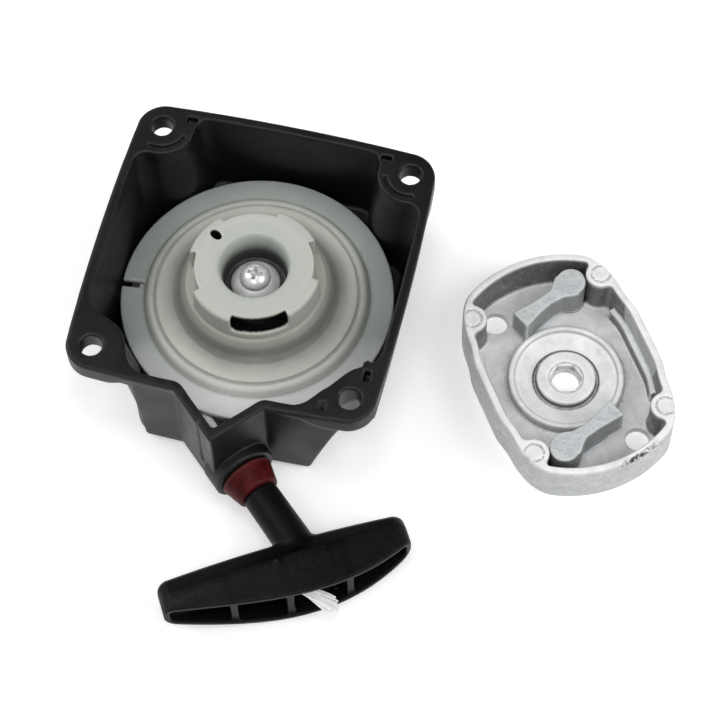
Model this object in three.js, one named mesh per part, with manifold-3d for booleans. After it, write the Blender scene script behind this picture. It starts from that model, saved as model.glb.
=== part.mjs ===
// Recoil starter for a small two-stroke engine, with its pawl plate lying beside it.
// Millimetres, +Z up. The origin is on the pulley axis, on the outer face of the cover,
// which rests on the bench; +Z points to the engine side, and the flange is square to X and Y.
import * as THREE from "three";
import { mergeVertices } from "three/addons/utils/BufferGeometryUtils.js";
import Module from "manifold-3d";

const wasm = await Module();
wasm.setup();

// ---- driving dimensions ----
const GAP = 0.3;                    // clearance between touching pieces
const BOLT = 40;                    // bolt holes at (+-BOLT, +-BOLT)
const BOLT_HOLE_R = 3.45;
const HOUSING_H = 38;               // outer face to engine flange
const EAR_Z = 32;                   // underside of the flange ears
const EAR_BOSS_Z = 30.5;            // underside of the boss around each bolt hole
const EAR_BOSS_R = 6.4;
const FLANGE_MID = 49;              // half width at the middle of a side
const FLANGE_CORNER = 47.8;         // half width at the corners, as the sides are bowed
const FLANGE_ROUND = 7.5;
const CUP_INSET = 0.3;              // walls stand this far in from the flange
const CUP_EDGE = 2.5;               // rounding between the walls and the outer face
const WALL = 3;
const FLOOR = 2.5;
const TAPER_TOP = 33;               // the left and right walls lean in below this height
const TAPER = 0.125;                // by this much for each millimetre
const CORNER_CUT = 73;              // below the ears, no wall where |x| + |y| is more than this
const NEAR_WEB = 69.6;              // near corners: inner face of the wall, |x| + |y|
const FAR_WEB = 70.4;               // far corners: the same face
const FAR_WEB_R = 10.3;             // and a round post about the bolt in front of it
const POST_R = 6;                   // post that the pulley turns on
const POST_TOP = 22;
const POST_FOOT = 2;                // extra radius of the post's foot
const PILOT_R = 1.9;                // screw hole down the post
const PILOT_LOW = 8;
const MOAT = [6.8, 8.6];            // inner and outer radius of the moat around a far boss
const MOAT_DEPTH = 3;
const POCKET = [30.6, 44.3];        // middle of the slot beside each moat
const PEG = [43, -27.4];
const PEG_R = 1.2;

const PULL_ANGLE = THREE.MathUtils.degToRad(-43);   // way out of the rope, from +X
const PULL_OFFSET = 35;             // distance from the pulley axis to the rope's line
const ROPE_Z = 10;
const ROPE_R = 1.75;
const NOSE_FACE = 45;               // outer face of the nose, measured along the rope
const NOSE_SIDE = 44;               // outer side of the nose, measured across the rope
const NOSE_BACK = 21;               // the nose starts this far from the pulley axis, across the rope
const SOCKET_R = 10;
const SOCKET_END = 48.2;
const SEAT_R = 5.2;                 // seat of the ferrule's spigot
const SEAT_START = 45.4;
const ROPE_WAY_R = 2.6;
const FERRULE_END = 56;
const FERRULE_BIG_R = 8.5;
const FERRULE_SMALL_R = 6.5;
const FERRULE_BORE_R = 2.3;
const NECK_START = 56.3;

const PULLEY_R = 42.9;
const RIM_TOP = 13.75;
const GROOVE_TOP = 11.9;
const GROOVE_LOW = 4.5;
const PULLEY_LOW = 3;
const GROOVE_R = 31;
const HUB_TOP = 34;
const HUB_BORE_R = 10.9;
const HUB_RING_R = 18.4;
const LUG_R = 20.8;
const LUG_ARC = 140;                // degrees that each of the two lugs spans
const LUG_MID = -71;                // middle of the front lug, degrees from +X
const LUG_SKIN = 1.5;
const WINDOW_LOW = 27.5;
const WINDOW_HALF_ARC = 26;
const KNOT_HOLE = [-13.7, 7.6];
const KNOT_HOLE_R = 1.9;
const PULLEY_KNOT = [-14.3, 7.9, 26];
const PULLEY_KNOT_R = 2.3;
const WASHER_R = 7.7;
const WASHER_RISE = 3.2;            // the washer is dished, higher in the middle
const HEAD_R = 4.9;
const HEAD_HEIGHT = 4;

const BAR_CENTRE = [33, -90.5];     // middle of the chord of the grip's open face
const BAR_ANGLE = THREE.MathUtils.degToRad(30.5);
const BAR_HALF = 38;
const BAR_Z = 10;
const BAR_HALF_H = 9.6;             // at the middle
const BAR_END_HALF_H = 5.4;
const BAR_REACH = 30;               // further than the bar reaches from its own line
const NECK_R = 5.6;
const HANDLE_KNOT = [7.4, -4.4];    // on the bar: along, outward
const HANDLE_KNOT_R = 2.6;
const TAIL_START = [3.6, 0.2];
const TAIL_END = [11, 10.3];
const RIBS = [-35.5, -17.6, -1, 17.6, 35.5]; // along the bar
const HALF_RIB = 1;
const CELL_FLOOR = -7.4;
const GRIP_SKIN = 1.9;

const PLATE = [99.5, -1.5];         // middle of the pawl plate
const PLATE_ANGLE = THREE.MathUtils.degToRad(124.5); // its long axis
const PLATE_R = 38.5;
const PLATE_HALF_W = 26;
const PLATE_H = 16;
const PLATE_FLOOR = 3;
const PAWL_LOW = 5.4;
const PAWL_TOP = 15;
const PAWL_PIVOT = [26.2, 12.3];    // along and across the plate's long axis
const CLEAR_HOLE = [26.7, -12.6];   // through hole, along and across
const BOLT_CLEAR_R = 3.75;
const BOSS = [24.8, 21.8];          // corner bosses of the tray, along and across
const BOSS_R = 4.6;
const PLATE_WALL = 2.6;
const PLATE_HUB_R = 9.3;
const PLATE_HUB_TOP = 5.2;
const HEX_R = 5;
const PIVOT_BOSS_R = 4.2;
const PIVOT_HOLE_R = 1.9;
const PIN_R = 1.6;
const PAWL_END_R = 4.6;
const PAWL_SKIN = 2.4;              // over the pin's end
const PAWL_TURN = { 1: -128.5, [-1]: 51.5 }; // way each arm points, degrees from +X

// ---- finishes ----
function finish(color, roughness, metalness = 0) {
  return new THREE.MeshStandardMaterial({ color, roughness, metalness });
}
const BLACK_PLASTIC = finish(0x17181a, 0.55);
const NYLON = finish(0xc9ccc4, 0.45);
const RED_PLASTIC = finish(0x5c1518, 0.35);
const ZINC = finish(0xd4d6d8, 0.25, 1);
const SPRING_STEEL = finish(0x6f7377, 0.35, 1);
const CAST_ALUMINIUM = finish(0xc4c7ca, 0.4, 1);
const SINTERED_STEEL = finish(0x8e9498, 0.5, 1);
const ROPE_WHITE = finish(0xe9e9e4, 0.9);

// ---- solids ----
function toSolid(geometry) {
  const bare = geometry.clone();
  bare.deleteAttribute("normal");
  bare.deleteAttribute("uv");
  const merged = mergeVertices(bare, 1e-4);
  return new wasm.Manifold(new wasm.Mesh({
    numProp: 3,
    vertProperties: new Float32Array(merged.attributes.position.array),
    triVerts: new Uint32Array(merged.index.array),
  }));
}

function toGeometry(solid) {
  const mesh = solid.getMesh();
  const geometry = new THREE.BufferGeometry();
  geometry.setAttribute("position", new THREE.BufferAttribute(new Float32Array(mesh.vertProperties), 3));
  geometry.setIndex(new THREE.BufferAttribute(new Uint32Array(mesh.triVerts), 1));
  return geometry;
}

// an outline in the XY plane raised from z = low to z = high; edge rounds the outline's two rims
function prism(shape, low, high, { edge = 0, steps = 2, curve = 8 } = {}) {
  const geometry = new THREE.ExtrudeGeometry(shape, {
    depth: high - low - 2 * edge,
    bevelEnabled: edge > 0,
    bevelThickness: edge,
    bevelSize: edge,
    bevelOffset: -edge,
    bevelSegments: steps,
    curveSegments: curve,
  });
  geometry.translate(0, 0, low + edge);
  return toSolid(geometry);
}

// a closed profile of [radius, z] turned about the Z axis
function turned(profile, segments = 48) {
  const points = profile.map(([r, z]) => new THREE.Vector2(r, z));
  const geometry = new THREE.LatheGeometry(points, segments);
  geometry.rotateX(Math.PI / 2);
  return toSolid(geometry);
}

function disc(radius, low, high, x = 0, y = 0, segments = 24) {
  const geometry = new THREE.CylinderGeometry(radius, radius, high - low, segments);
  geometry.rotateX(Math.PI / 2);
  geometry.translate(x, y, (low + high) / 2);
  return toSolid(geometry);
}

function polygon(points) {
  return new THREE.Shape(points.map(([x, y]) => new THREE.Vector2(x, y)));
}

// a ring sector between two radii, from one angle to another in degrees
function sector(inner, outer, from, to) {
  const start = THREE.MathUtils.degToRad(from);
  const end = THREE.MathUtils.degToRad(to);
  const shape = new THREE.Shape();
  shape.absarc(0, 0, outer, start, end, false);
  shape.absarc(0, 0, inner, end, start, true);
  shape.closePath();
  return shape;
}

// ---- the rope's line: s runs along the pull, across runs outward from the pulley axis ----
const PULL = [Math.cos(PULL_ANGLE), Math.sin(PULL_ANGLE)];
function onPull(s, across) {
  return [PULL[0] * s + PULL[1] * across, PULL[1] * s - PULL[0] * across];
}

// a profile of [radius, s] turned about the rope's line
function turnedOnRope(profile, segments = 32) {
  const points = profile.map(([r, s]) => new THREE.Vector2(r, s));
  const geometry = new THREE.LatheGeometry(points, segments);
  geometry.rotateZ(-Math.PI / 2);
  geometry.rotateZ(PULL_ANGLE);
  const [x, y] = onPull(0, PULL_OFFSET);
  geometry.translate(x, y, ROPE_Z);
  return toSolid(geometry);
}

// ---- group and nodes ----
const starter = new THREE.Group();
function node(name, solid, material) {
  const mesh = new THREE.Mesh(toGeometry(solid), material);
  mesh.name = name;
  starter.add(mesh);
  return mesh;
}

// ---- housing ----
// a square whose sides bow outward a little and whose corners are round
function bowedSquare(mid, corner, radius) {
  const straight = corner - radius;
  const bow = 2 * mid - corner;
  const shape = new THREE.Shape();
  shape.moveTo(-straight, -corner);
  shape.quadraticCurveTo(0, -bow, straight, -corner);
  shape.quadraticCurveTo(corner, -corner, corner, -straight);
  shape.quadraticCurveTo(bow, 0, corner, straight);
  shape.quadraticCurveTo(corner, corner, straight, corner);
  shape.quadraticCurveTo(0, bow, -straight, corner);
  shape.quadraticCurveTo(-corner, corner, -corner, straight);
  shape.quadraticCurveTo(-bow, 0, -corner, -straight);
  shape.quadraticCurveTo(-corner, -corner, -straight, -corner);
  return shape;
}

function noseOutline(inset) {
  return polygon([
    onPull(NOSE_FACE - inset, NOSE_SIDE - inset),
    onPull(NOSE_FACE - inset, NOSE_BACK),
    onPull(20, NOSE_BACK),
    onPull(12, NOSE_SIDE - inset),
  ]);
}

const CORNERS = [[1, 1], [-1, 1], [-1, -1], [1, -1]].map(([x, y]) => [x * BOLT, y * BOLT]);

function makeHousing() {
  const flange = bowedSquare(FLANGE_MID, FLANGE_CORNER, FLANGE_ROUND);
  const wallOutline = bowedSquare(FLANGE_MID - CUP_INSET, FLANGE_CORNER - CUP_INSET, FLANGE_ROUND);
  let body = prism(wallOutline, 0, EAR_Z + CUP_EDGE + 2, { edge: CUP_EDGE, steps: 2, curve: 6 });
  for (const side of [1, -1]) {
    body = body.subtract(leaningSide(side, FLANGE_MID - CUP_INSET));
  }
  for (const [x, y] of CORNERS) {
    body = body.subtract(beyondCorner(x, y, CORNER_CUT, -1, EAR_Z));
    body = body.add(disc(EAR_BOSS_R, EAR_BOSS_Z, EAR_Z + 1, x, y));
  }
  body = body.add(prism(flange, EAR_Z, HOUSING_H, { curve: 6 }));
  body = body.add(prism(noseOutline(0), FLOOR, HOUSING_H));
  body = body.add(turnedOnRope([[0, NOSE_FACE - 1], [SOCKET_R, NOSE_FACE - 1], [SOCKET_R, SOCKET_END],
    [0, SOCKET_END]]));

  // the cavity, leaving a wall across each corner inside the bolt
  const cavityOutline = bowedSquare(FLANGE_MID - WALL, FLANGE_CORNER - WALL, 4);
  let cavity = prism(cavityOutline, FLOOR, HOUSING_H + 1, { curve: 6 });
  for (const side of [1, -1]) {
    cavity = cavity.subtract(leaningSide(side, FLANGE_MID - WALL));
  }
  for (const [x, y] of CORNERS) {
    cavity = cavity.subtract(beyondCorner(x, y, y < 0 ? NEAR_WEB : FAR_WEB, 0, HOUSING_H + 2));
    if (y > 0) {
      cavity = cavity.subtract(disc(FAR_WEB_R, 0, HOUSING_H + 2, x, y, 28));
    }
  }
  body = body.subtract(cavity);
  body = body.subtract(prism(noseOutline(WALL), FLOOR + WALL, HOUSING_H + 1));

  for (const [x, y] of CORNERS) {
    body = body.subtract(disc(BOLT_HOLE_R, EAR_BOSS_Z - 1, HOUSING_H + 1, x, y));
  }
  body = body.subtract(farMoat(1)).subtract(farMoat(-1));

  // rope way through the nose and the socket for the ferrule
  const wayStart = NOSE_FACE - 9;
  body = body.subtract(turnedOnRope([[0, wayStart], [ROPE_WAY_R, wayStart], [ROPE_WAY_R, SEAT_START],
    [SEAT_R, SEAT_START], [SEAT_R, FERRULE_END], [0, FERRULE_END]]));

  // centre post with its pilot hole for the retaining screw
  const post = turned([[PILOT_R, PILOT_LOW], [POST_R, PILOT_LOW], [POST_R, POST_TOP], [PILOT_R, POST_TOP],
    [PILOT_R, PILOT_LOW]], 32);
  const foot = disc(POST_R + POST_FOOT, FLOOR - 0.5, PULLEY_LOW + 1, 0, 0, 32);
  const stem = disc(POST_R, FLOOR - 0.5, PILOT_LOW + 0.01, 0, 0, 32);
  body = body.add(stem).add(foot).add(post);

  // small peg on the wall beside the near right web
  return body.add(disc(PEG_R, EAR_BOSS_Z, HOUSING_H - 0.4, ...PEG, 12));
}

// everything past a flat face set diagonally across the corner at x, y
function beyondCorner(x, y, reach, low, high) {
  const [signX, signY] = [Math.sign(x), Math.sign(y)];
  const far = FLANGE_MID + 10;
  const points = [[far, reach - far], [far, far], [reach - far, far]].map(([u, v]) => [signX * u, signY * v]);
  return prism(polygon(signX * signY > 0 ? points : points.reverse()), low, high);
}

// everything outside a wall that leans in towards the floor on the +x or -x side
function leaningSide(side, top) {
  const foot = top - TAPER * (TAPER_TOP + 1);
  const shape = polygon([[foot, -1], [FLANGE_MID + 10, -1], [FLANGE_MID + 10, TAPER_TOP], [top, TAPER_TOP]]);
  const depth = 2 * FLANGE_MID + 20;
  const geometry = new THREE.ExtrudeGeometry(shape, { depth, bevelEnabled: false });
  geometry.translate(0, 0, -depth / 2);
  geometry.rotateX(Math.PI / 2);
  const wedge = toSolid(geometry);
  return side > 0 ? wedge : wedge.mirror([1, 0, 0]);
}

// the moat around one of the two far bosses, and the slot beside it; side is the sign of x
function farMoat(side) {
  const inward = side > 0 ? -135 : -45;
  const from = inward - (side > 0 ? 28 : 62);
  const ring = prism(sector(...MOAT, from, from + 90), HOUSING_H - MOAT_DEPTH, HOUSING_H + 1);
  const [slotX, slotY] = [side * POCKET[0], POCKET[1]];
  const slot = polygon([[slotX - 2.2, slotY - 1.1], [slotX + 2.2, slotY - 1.1], [slotX + 2.2, slotY + 1.1],
    [slotX - 2.2, slotY + 1.1]]);
  return ring.translate([side * BOLT, BOLT, 0]).add(prism(slot, HOUSING_H - MOAT_DEPTH, HOUSING_H + 1));
}

// ---- pulley ----
function makePulley() {
  const skin = 2;
  const recessR = GROOVE_R - skin;
  const sleeveIn = POST_R + GAP;
  const profile = [
    [sleeveIn, 4.6], [8.4, 4.6], [8.4, 19.6], [HUB_BORE_R + 2, 19.6], [HUB_BORE_R + 2, HUB_TOP - 1.6],
    [HUB_RING_R - 1.6, HUB_TOP - 1.6], [HUB_RING_R - 1.6, 21], [22.4, 15.6], [recessR, 14.6],
    [recessR, PULLEY_LOW], [PULLEY_R - 1, PULLEY_LOW], [PULLEY_R - 1, GROOVE_LOW],
    [GROOVE_R, GROOVE_LOW], [GROOVE_R, GROOVE_TOP], [PULLEY_R, GROOVE_TOP], [PULLEY_R, RIM_TOP],
    [35.8, RIM_TOP], [35, 16.8], [32.2, 17.2], [31.8, 16.6], [25.5, 17.6], [23.2, 19.4], [21.6, 22.6],
    [HUB_RING_R, 23.2], [HUB_RING_R, HUB_TOP], [HUB_BORE_R, HUB_TOP], [HUB_BORE_R - 1.2, 21.7],
    [sleeveIn, 21.7], [sleeveIn, 4.6],
  ];
  let body = turned(profile, 48);
  for (const turn of [0, 180]) {
    const from = LUG_MID - LUG_ARC / 2 + turn;
    const to = LUG_MID + LUG_ARC / 2 + turn;
    body = body.add(prism(sector(HUB_RING_R - 0.5, LUG_R, from, to), 20, HUB_TOP, { curve: 9 }));
    const inside = sector(HUB_RING_R - LUG_SKIN - 0.7, LUG_R - LUG_SKIN, from + 5, to - 5);
    body = body.subtract(prism(inside, 18.5, HUB_TOP - LUG_SKIN, { curve: 9 }));
    const gap = sector(HUB_RING_R + 0.2, LUG_R + 3, LUG_MID - WINDOW_HALF_ARC + turn,
      LUG_MID + WINDOW_HALF_ARC + turn);
    body = body.subtract(prism(gap, WINDOW_LOW, HUB_TOP + 1, { curve: 8 }));
  }
  // slot in the rim for threading the rope, and the hole that its knot sits under
  const slot = new THREE.BoxGeometry(9, 2.2, 6);
  slot.translate(-(36 + 4.5), 0, RIM_TOP - 1);
  slot.rotateZ(THREE.MathUtils.degToRad(6));
  body = body.subtract(toSolid(slot));
  return body.subtract(disc(KNOT_HOLE_R, HUB_TOP - 4, HUB_TOP + 1, ...KNOT_HOLE, 16));
}

// ---- retaining screw and washer ----
function makeScrew() {
  const headLow = POST_TOP + WASHER_RISE + 2 * GAP;
  const headTop = headLow + HEAD_HEIGHT;
  const shankR = PILOT_R - 0.2;
  const dome = [[0, PILOT_LOW + 2], [shankR, PILOT_LOW + 2], [shankR, headLow], [HEAD_R, headLow],
    [HEAD_R, headLow + 1], [HEAD_R - 1, headLow + 2.2], [2.2, headTop - 0.1], [0, headTop]];
  const recess = disc(PILOT_R, headTop - 1.8, headTop + 1, 0, 0, 6);
  return turned(dome, 28).subtract(recess);
}

function makeWasher() {
  const low = POST_TOP + GAP;
  const hole = PILOT_R + 0.2;
  return turned([[hole, low], [WASHER_R, low], [WASHER_R, low + 0.8], [HEAD_R, low + WASHER_RISE],
    [hole, low + WASHER_RISE], [hole, low]], 36);
}

// ---- rewind spring: a flat strip wound in a spiral, with its cover plate ----
function makeSpring() {
  const turns = 6;
  const steps = 96;
  const strip = 0.7;
  const innerR = 12;
  const outerR = 27.6;
  const edge = (offset) => {
    const points = [];
    for (let i = 0; i <= steps; i += 1) {
      const part = i / steps;
      const radius = innerR + (outerR - innerR) * part + offset;
      const angle = part * turns * 2 * Math.PI;
      points.push([radius * Math.cos(angle), radius * Math.sin(angle)]);
    }
    return points;
  };
  return prism(polygon([...edge(0), ...edge(strip).reverse()]), FLOOR + 0.4, 12);
}

function makeSpringCover() {
  const low = 12.4;
  return turned([[10, low], [28.5, low], [28.5, low + 0.8], [10, low + 0.8], [10, low]], 40);
}

// ---- rope ----
function makeRopeCoil() {
  const inner = GROOVE_R + GAP;
  const outer = inner + 7;
  const low = GROOVE_LOW + GAP;
  const high = GROOVE_TOP - GAP;
  return turned([[inner, low], [outer, low], [outer, high], [inner, high], [inner, low]], 48);
}

function ropeAlong(from, to) {
  return turnedOnRope([[0, from], [ROPE_R, from], [ROPE_R, to], [0, to]], 12);
}

function knot(radius, x, y, z) {
  const ball = new THREE.SphereGeometry(radius, 12, 8);
  ball.translate(x, y, z);
  return toSolid(ball);
}

// a place on the grip bar: u along the bar, v outward from the chord of its open face
function onBar(u, v) {
  const c = Math.cos(BAR_ANGLE);
  const s = Math.sin(BAR_ANGLE);
  return [BAR_CENTRE[0] + u * c + v * s, BAR_CENTRE[1] + u * s - v * c];
}

// the rope's end inside the neck, with the knot that holds it in the grip
function makeHandleKnot() {
  return ropeAlong(NECK_START + 1, 82).add(knot(HANDLE_KNOT_R, ...onBar(...HANDLE_KNOT), ROPE_Z));
}

// the loose end past the knot, hanging out of the open side of the grip
function makeTail() {
  const start = new THREE.Vector3(...onBar(...TAIL_START), ROPE_Z + 1.2);
  const end = new THREE.Vector3(...onBar(...TAIL_END), ROPE_Z - 3.5);
  const section = new THREE.Shape();
  section.absarc(0, 0, ROPE_R, 0, 2 * Math.PI, false);
  const path = new THREE.LineCurve3(start, end);
  const options = { extrudePath: path, steps: 3, curveSegments: 5, bevelEnabled: false };
  return toSolid(new THREE.ExtrudeGeometry(section, options));
}

// ---- rope guide: a spigot in the nose's socket and a tapered mouth outside it ----
function makeFerrule() {
  const spigotR = SEAT_R - GAP;
  const inner = SEAT_START + GAP;
  return turnedOnRope([[FERRULE_BORE_R, inner], [spigotR, inner], [spigotR, SOCKET_END + GAP],
    [FERRULE_BIG_R, SOCKET_END + GAP], [FERRULE_SMALL_R, FERRULE_END], [FERRULE_BORE_R, FERRULE_END],
    [FERRULE_BORE_R, inner]], 32);
}

// ---- handle ----
function makeHandle() {
  const barShape = new THREE.Shape();
  barShape.moveTo(-BAR_HALF, -1);
  barShape.quadraticCurveTo(0, 13, BAR_HALF, -1);
  barShape.quadraticCurveTo(40, -9, 34, -10.5);
  barShape.quadraticCurveTo(0, -14, -34, -9);
  barShape.quadraticCurveTo(-40, -8, -BAR_HALF, -1);
  let bar = prism(flipped(barShape), BAR_Z - BAR_HALF_H, BAR_Z + BAR_HALF_H, { curve: 8 });
  bar = bar.intersect(sideProfile(BAR_END_HALF_H, BAR_HALF_H));
  // cells open on the outer face, between ribs
  const hollow = sideProfile(BAR_END_HALF_H - GRIP_SKIN, BAR_HALF_H - GRIP_SKIN);
  for (let i = 0; i + 1 < RIBS.length; i += 1) {
    const from = RIBS[i] + HALF_RIB;
    const to = RIBS[i + 1] - HALF_RIB;
    const cell = flipped(polygon([[from, CELL_FLOOR], [to, CELL_FLOOR], [to, BAR_REACH], [from, BAR_REACH]]));
    bar = bar.subtract(prism(cell, 0, BAR_Z * 2).intersect(hollow));
  }
  // the local v axis of the bar points outward, away from the housing
  bar = bar.rotate([0, 0, THREE.MathUtils.radToDeg(BAR_ANGLE)]).translate([...BAR_CENTRE, 0]);
  const neck = turnedOnRope([[0, NECK_START], [NECK_R - 0.6, NECK_START], [NECK_R, NECK_START + 1],
    [NECK_R + 0.6, 80], [0, 80]], 28);
  const bore = turnedOnRope([[0, NOSE_FACE], [FERRULE_BORE_R, NOSE_FACE], [FERRULE_BORE_R, 100],
    [0, 100]], 16);
  return bar.add(neck).subtract(bore);
}

// mirrors an outline in v, as +Y of the drawing is inward on the bar
function flipped(shape) {
  const points = shape.getPoints(8).map((point) => [point.x, -point.y]);
  return polygon(points.reverse());
}

// the bar seen from the side: full height in the middle, lower at both ends
function sideProfile(endHalf, midHalf) {
  const half = BAR_HALF + 3;
  const bow = 2 * midHalf - endHalf;
  const shape = new THREE.Shape();
  shape.moveTo(-half, -endHalf);
  shape.quadraticCurveTo(0, -bow, half, -endHalf);
  shape.lineTo(half, endHalf);
  shape.quadraticCurveTo(0, bow, -half, endHalf);
  shape.closePath();
  const options = { depth: 2 * BAR_REACH, bevelEnabled: false, curveSegments: 10 };
  const geometry = new THREE.ExtrudeGeometry(shape, options);
  geometry.translate(0, 0, -BAR_REACH);
  geometry.rotateX(Math.PI / 2);
  geometry.translate(0, 0, BAR_Z);
  return toSolid(geometry);
}

// ---- pawl plate ----
// a place on the plate: along its long axis, across it, as world x and y
function onPlate(along, across) {
  const c = Math.cos(PLATE_ANGLE);
  const s = Math.sin(PLATE_ANGLE);
  return [PLATE[0] + along * c + across * s, PLATE[1] + along * s - across * c];
}

function placedOnPlate(solid) {
  return solid.rotate([0, 0, THREE.MathUtils.radToDeg(PLATE_ANGLE)]).translate([...PLATE, 0]);
}

// two round ends joined by straight sides, with the sides bulging a little at the middle
function plateOutline(inset) {
  const radius = PLATE_R - inset;
  const half = PLATE_HALF_W - inset;
  const reach = Math.sqrt(radius * radius - half * half) - 4;
  const turn = Math.atan2(half - 2.5, reach + 3);
  const shape = new THREE.Shape();
  shape.moveTo(-reach, -half);
  shape.quadraticCurveTo(0, -half - 3, reach, -half);
  shape.quadraticCurveTo(reach + 3, -half, radius * Math.cos(turn), -radius * Math.sin(turn));
  shape.absarc(0, 0, radius, -turn, turn, false);
  shape.quadraticCurveTo(reach + 3, half, reach, half);
  shape.quadraticCurveTo(0, half + 3, -reach, half);
  shape.quadraticCurveTo(-reach - 3, half, -radius * Math.cos(turn), radius * Math.sin(turn));
  shape.absarc(0, 0, radius, Math.PI - turn, Math.PI + turn, false);
  shape.quadraticCurveTo(-reach - 3, -half, -reach, -half);
  return shape;
}

function makePlate() {
  let body = prism(plateOutline(0), 0, PLATE_H, { edge: 1, steps: 1, curve: 6 });
  let tray = prism(plateOutline(PLATE_WALL), PLATE_FLOOR, PLATE_H + 1, { curve: 8 });
  for (const [x, y] of [[1, 1], [1, -1], [-1, 1], [-1, -1]]) {
    tray = tray.subtract(disc(BOSS_R, 0, PLATE_H + 2, x * BOSS[0], y * BOSS[1], 16));
  }
  body = body.subtract(tray);
  const under = PLATE_FLOOR - 0.5;
  const ridge = [[15.8, under], [18.3, under], [17.8, 6], [16.2, 6], [15.8, under]];
  body = body.add(turned(ridge, 40));
  body = body.add(disc(PLATE_HUB_R, under, PLATE_HUB_TOP, 0, 0, 32));
  body = body.subtract(disc(HEX_R, -1, 8, 0, 0, 6));
  for (const side of [1, -1]) {
    body = body.subtract(disc(BOLT_CLEAR_R, -1, 8, side * CLEAR_HOLE[0], -side * CLEAR_HOLE[1], 20));
    const [x, y] = [side * PAWL_PIVOT[0], -side * PAWL_PIVOT[1]];
    const bossTop = PAWL_LOW - GAP;
    const boss = turned([[PIVOT_HOLE_R, 1], [PIVOT_BOSS_R, 1], [PIVOT_BOSS_R, bossTop],
      [PIVOT_HOLE_R, bossTop], [PIVOT_HOLE_R, 1]], 20);
    body = body.add(boss.translate([x, y, 0]));
    body = body.subtract(disc(PIVOT_HOLE_R, 1, 6, x, y, 16));
  }
  return placedOnPlate(body);
}

// a pawl: round pivot end, waisted arm, square hook; drawn with its pivot at the origin, arm along +X
function pawlOutline() {
  const shape = new THREE.Shape();
  const start = THREE.MathUtils.degToRad(48);
  shape.absarc(0, 0, PAWL_END_R, start, 2 * Math.PI - start, false);
  shape.quadraticCurveTo(7.5, -0.4, 13, -1);
  shape.lineTo(21.4, -2.4);
  shape.lineTo(21.2, 3.7);
  shape.quadraticCurveTo(10, 1, PAWL_END_R * Math.cos(start), PAWL_END_R * Math.sin(start));
  return shape;
}

function makePawl(side) {
  const pawl = prism(pawlOutline(), PAWL_LOW, PAWL_TOP, { curve: 10 });
  return onPivot(pawl.subtract(disc(PIVOT_HOLE_R, PAWL_LOW - 1, PAWL_TOP - PAWL_SKIN, 0, 0, 16)), side);
}

// turns a solid drawn about the pivot to the way its arm points, and puts it on the plate
function onPivot(solid, side) {
  const pivot = onPlate(side * PAWL_PIVOT[0], side * PAWL_PIVOT[1]);
  return solid.rotate([0, 0, PAWL_TURN[side]]).translate([...pivot, 0]);
}

function makePawlPin(side) {
  return onPivot(disc(PIN_R, 1 + GAP, PAWL_TOP - PAWL_SKIN - GAP, 0, 0, 16), side);
}

// a flat spring leaf on the tray floor under the arm of the pawl
function makePawlSpring(side) {
  const leaf = polygon([[5, -1.2], [17, -1.6], [17, 2.2], [5, 1.4]]);
  return onPivot(prism(leaf, PLATE_FLOOR + GAP, PAWL_LOW - GAP), side);
}

// ---- assembly ----
node("housing", makeHousing(), BLACK_PLASTIC);
node("pulley", makePulley(), NYLON);
node("retaining_screw", makeScrew(), ZINC);
node("retaining_washer", makeWasher(), ZINC);
node("rewind_spring", makeSpring(), SPRING_STEEL);
node("spring_cover_plate", makeSpringCover(), ZINC);
node("rope_coil", makeRopeCoil(), ROPE_WHITE);
node("rope_pulley_knot", knot(PULLEY_KNOT_R, ...PULLEY_KNOT), ROPE_WHITE);
node("rope_run", ropeAlong(20.5, FERRULE_END), ROPE_WHITE);
node("rope_handle_knot", makeHandleKnot(), ROPE_WHITE);
node("rope_tail", makeTail(), ROPE_WHITE);
node("rope_guide_ferrule", makeFerrule(), RED_PLASTIC);
node("handle", makeHandle(), BLACK_PLASTIC);
node("pawl_plate", makePlate(), CAST_ALUMINIUM);
for (const [letter, side] of [["a", 1], ["b", -1]]) {
  node(`pawl_${letter}`, makePawl(side), SINTERED_STEEL);
  node(`pawl_pin_${letter}`, makePawlPin(side), ZINC);
  node(`pawl_spring_${letter}`, makePawlSpring(side), SPRING_STEEL);
}

export default starter;
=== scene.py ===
"""Looks of the recoil starter and its pawl plate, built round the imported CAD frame.

The starter lies face down on the bench with its engine side up; the pawl plate lies beside it.
Shapes are written in millimetres as signed distances, negative inside the material, and are
meshed, settled on their true surface and scaled to metres at the end.
"""

import math

import bmesh
import bpy
import numpy as np
import openvdb
from mathutils import Matrix, Vector


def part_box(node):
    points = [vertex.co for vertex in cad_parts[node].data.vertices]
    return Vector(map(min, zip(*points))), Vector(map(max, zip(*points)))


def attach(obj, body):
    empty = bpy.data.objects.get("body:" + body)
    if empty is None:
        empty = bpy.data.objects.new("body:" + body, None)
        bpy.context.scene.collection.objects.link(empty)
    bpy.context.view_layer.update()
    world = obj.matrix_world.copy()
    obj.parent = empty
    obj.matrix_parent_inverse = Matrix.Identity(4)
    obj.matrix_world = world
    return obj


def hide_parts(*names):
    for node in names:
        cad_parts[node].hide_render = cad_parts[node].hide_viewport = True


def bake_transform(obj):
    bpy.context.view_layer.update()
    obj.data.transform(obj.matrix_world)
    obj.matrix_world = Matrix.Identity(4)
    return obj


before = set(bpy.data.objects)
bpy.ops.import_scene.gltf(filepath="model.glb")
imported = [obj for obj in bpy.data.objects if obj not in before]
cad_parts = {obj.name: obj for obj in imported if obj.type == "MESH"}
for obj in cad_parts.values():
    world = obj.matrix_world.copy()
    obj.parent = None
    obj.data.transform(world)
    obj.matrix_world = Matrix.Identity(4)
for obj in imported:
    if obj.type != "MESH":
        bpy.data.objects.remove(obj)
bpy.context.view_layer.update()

MM = 0.001

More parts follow.
